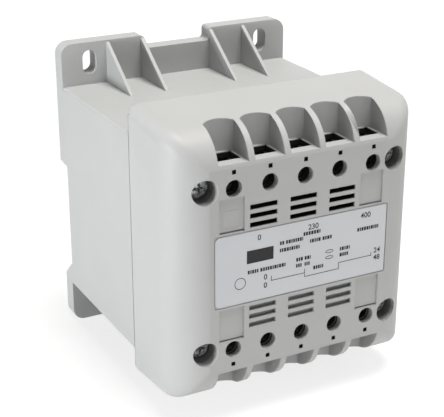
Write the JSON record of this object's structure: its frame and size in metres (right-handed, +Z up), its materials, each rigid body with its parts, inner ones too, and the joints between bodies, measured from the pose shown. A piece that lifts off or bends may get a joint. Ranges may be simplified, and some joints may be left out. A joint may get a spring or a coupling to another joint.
{
  "type": "din rail transformer",
  "caption": "Control transformer in a light grey moulded case that clips onto a rail, with screw terminals along its top and bottom edges.",
  "frame": {"origin": "middle of the rail, on the plane of the rail's front lips", "axes": "+X to the right along the rail, +Y from the front of the case into the rail, +Z up"},
  "size_m": [0.094, 0.101, 0.112],
  "materials": {
    "case_plastic": "light grey moulded plastic, finely textured",
    "cover_plastic": "light grey moulded plastic, finely textured",
    "label_film": "smooth white film, bare",
    "zinc_steel": "zinc plated",
    "block_plastic": "dark grey moulded plastic",
    "core_steel": "varnished lamination edges",
    "bobbin_plastic": "black moulded plastic",
    "copper_wire": "enamelled copper",
    "lead_sleeve": "insulating sleeve",
    "latch_plastic": "dark moulded plastic",
    "spring_steel": "bright spring wire",
    "tinned_brass": "tinned"
  },
  "bodies": {
    "case": {"rear_base": "case_plastic", "front_cover": "cover_plastic", "rating_label": "label_film", "cover_screws": "zinc_steel", "upper_terminal_block": "block_plastic", "lower_terminal_block": "block_plastic", "core_e_stack": "core_steel", "core_i_stack": "core_steel", "bobbin": "bobbin_plastic", "primary_winding": "copper_wire", "secondary_winding": "copper_wire", "primary_leads": "lead_sleeve", "secondary_leads": "lead_sleeve", "latch_spring": "spring_steel", "contact_bar_01": "tinned_brass", "contact_bar_02": "tinned_brass", "contact_bar_03": "tinned_brass", "contact_bar_04": "tinned_brass", "contact_bar_05": "tinned_brass", "contact_bar_06": "tinned_brass", "contact_bar_07": "tinned_brass", "contact_bar_08": "tinned_brass", "contact_bar_09": "tinned_brass", "contact_bar_10": "tinned_brass"},
    "latch": {"din_latch": "latch_plastic"},
    "clamp_01": {"clamp_plate_01": "zinc_steel"},
    "screw_01": {"terminal_screw_01": "zinc_steel"},
    "clamp_02": {"clamp_plate_02": "zinc_steel"},
    "screw_02": {"terminal_screw_02": "zinc_steel"},
    "clamp_03": {"clamp_plate_03": "zinc_steel"},
    "screw_03": {"terminal_screw_03": "zinc_steel"},
    "clamp_04": {"clamp_plate_04": "zinc_steel"},
    "screw_04": {"terminal_screw_04": "zinc_steel"},
    "clamp_05": {"clamp_plate_05": "zinc_steel"},
    "screw_05": {"terminal_screw_05": "zinc_steel"},
    "clamp_06": {"clamp_plate_06": "zinc_steel"},
    "screw_06": {"terminal_screw_06": "zinc_steel"},
    "clamp_07": {"clamp_plate_07": "zinc_steel"},
    "screw_07": {"terminal_screw_07": "zinc_steel"},
    "clamp_08": {"clamp_plate_08": "zinc_steel"},
    "screw_08": {"terminal_screw_08": "zinc_steel"},
    "clamp_09": {"clamp_plate_09": "zinc_steel"},
    "screw_09": {"terminal_screw_09": "zinc_steel"},
    "clamp_10": {"clamp_plate_10": "zinc_steel"},
    "screw_10": {"terminal_screw_10": "zinc_steel"}
  },
  "joints": [
    {"name": "latch_slide", "type": "slide", "parent": "case", "child": "latch", "axis": [0, 0, -1], "range_m": [0, 0.005], "stiffness_N_per_m": 1300, "springref_m": -0.004, "deforming": ["latch_spring"]},
    {"name": "clamp_slide_01", "type": "slide", "parent": "case", "child": "clamp_01", "axis": [0, 1, 0], "range_m": [0, 0.0024]},
    {"name": "screw_turn_01", "type": "hinge", "parent": "clamp_01", "child": "screw_01", "pos_m": [-0.026, -0.0884, 0.0376], "axis": [0, 1, 0], "range_deg": [0, 1440]},
    {"name": "clamp_slide_02", "type": "slide", "parent": "case", "child": "clamp_02", "axis": [0, 1, 0], "range_m": [0, 0.0024]},
    {"name": "screw_turn_02", "type": "hinge", "parent": "clamp_02", "child": "screw_02", "pos_m": [-0.0128, -0.0884, 0.0376], "axis": [0, 1, 0], "range_deg": [0, 1440]},
    {"name": "clamp_slide_03", "type": "slide", "parent": "case", "child": "clamp_03", "axis": [0, 1, 0], "range_m": [0, 0.0024]},
    {"name": "screw_turn_03", "type": "hinge", "parent": "clamp_03", "child": "screw_03", "pos_m": [0.0004, -0.0884, 0.0376], "axis": [0, 1, 0], "range_deg": [0, 1440]},
    {"name": "clamp_slide_04", "type": "slide", "parent": "case", "child": "clamp_04", "axis": [0, 1, 0], "range_m": [0, 0.0024]},
    {"name": "screw_turn_04", "type": "hinge", "parent": "clamp_04", "child": "screw_04", "pos_m": [0.0136, -0.0884, 0.0376], "axis": [0, 1, 0], "range_deg": [0, 1440]},
    {"name": "clamp_slide_05", "type": "slide", "parent": "case", "child": "clamp_05", "axis": [0, 1, 0], "range_m": [0, 0.0024]},
    {"name": "screw_turn_05", "type": "hinge", "parent": "clamp_05", "child": "screw_05", "pos_m": [0.0268, -0.0884, 0.0376], "axis": [0, 1, 0], "range_deg": [0, 1440]},
    {"name": "clamp_slide_06", "type": "slide", "parent": "case", "child": "clamp_06", "axis": [0, 1, 0], "range_m": [0, 0.0024]},
    {"name": "screw_turn_06", "type": "hinge", "parent": "clamp_06", "child": "screw_06", "pos_m": [-0.026, -0.0884, -0.0196], "axis": [0, 1, 0], "range_deg": [0, 1440]},
    {"name": "clamp_slide_07", "type": "slide", "parent": "case", "child": "clamp_07", "axis": [0, 1, 0], "range_m": [0, 0.0024]},
    {"name": "screw_turn_07", "type": "hinge", "parent": "clamp_07", "child": "screw_07", "pos_m": [-0.0128, -0.0884, -0.0196], "axis": [0, 1, 0], "range_deg": [0, 1440]},
    {"name": "clamp_slide_08", "type": "slide", "parent": "case", "child": "clamp_08", "axis": [0, 1, 0], "range_m": [0, 0.0024]},
    {"name": "screw_turn_08", "type": "hinge", "parent": "clamp_08", "child": "screw_08", "pos_m": [0.0004, -0.0884, -0.0196], "axis": [0, 1, 0], "range_deg": [0, 1440]},
    {"name": "clamp_slide_09", "type": "slide", "parent": "case", "child": "clamp_09", "axis": [0, 1, 0], "range_m": [0, 0.0024]},
    {"name": "screw_turn_09", "type": "hinge", "parent": "clamp_09", "child": "screw_09", "pos_m": [0.0136, -0.0884, -0.0196], "axis": [0, 1, 0], "range_deg": [0, 1440]},
    {"name": "clamp_slide_10", "type": "slide", "parent": "case", "child": "clamp_10", "axis": [0, 1, 0], "range_m": [0, 0.0024]},
    {"name": "screw_turn_10", "type": "hinge", "parent": "clamp_10", "child": "screw_10", "pos_m": [0.0268, -0.0884, -0.0196], "axis": [0, 1, 0], "range_deg": [0, 1440]}
  ],
  "couplings": [
    {"joint": "screw_turn_01", "follows": "clamp_slide_01", "rad_per_m": 10472},
    {"joint": "screw_turn_02", "follows": "clamp_slide_02", "rad_per_m": 10472},
    {"joint": "screw_turn_03", "follows": "clamp_slide_03", "rad_per_m": 10472},
    {"joint": "screw_turn_04", "follows": "clamp_slide_04", "rad_per_m": 10472},
    {"joint": "screw_turn_05", "follows": "clamp_slide_05", "rad_per_m": 10472},
    {"joint": "screw_turn_06", "follows": "clamp_slide_06", "rad_per_m": 10472},
    {"joint": "screw_turn_07", "follows": "clamp_slide_07", "rad_per_m": 10472},
    {"joint": "screw_turn_08", "follows": "clamp_slide_08", "rad_per_m": 10472},
    {"joint": "screw_turn_09", "follows": "clamp_slide_09", "rad_per_m": 10472},
    {"joint": "screw_turn_10", "follows": "clamp_slide_10", "rad_per_m": 10472}
  ]
}
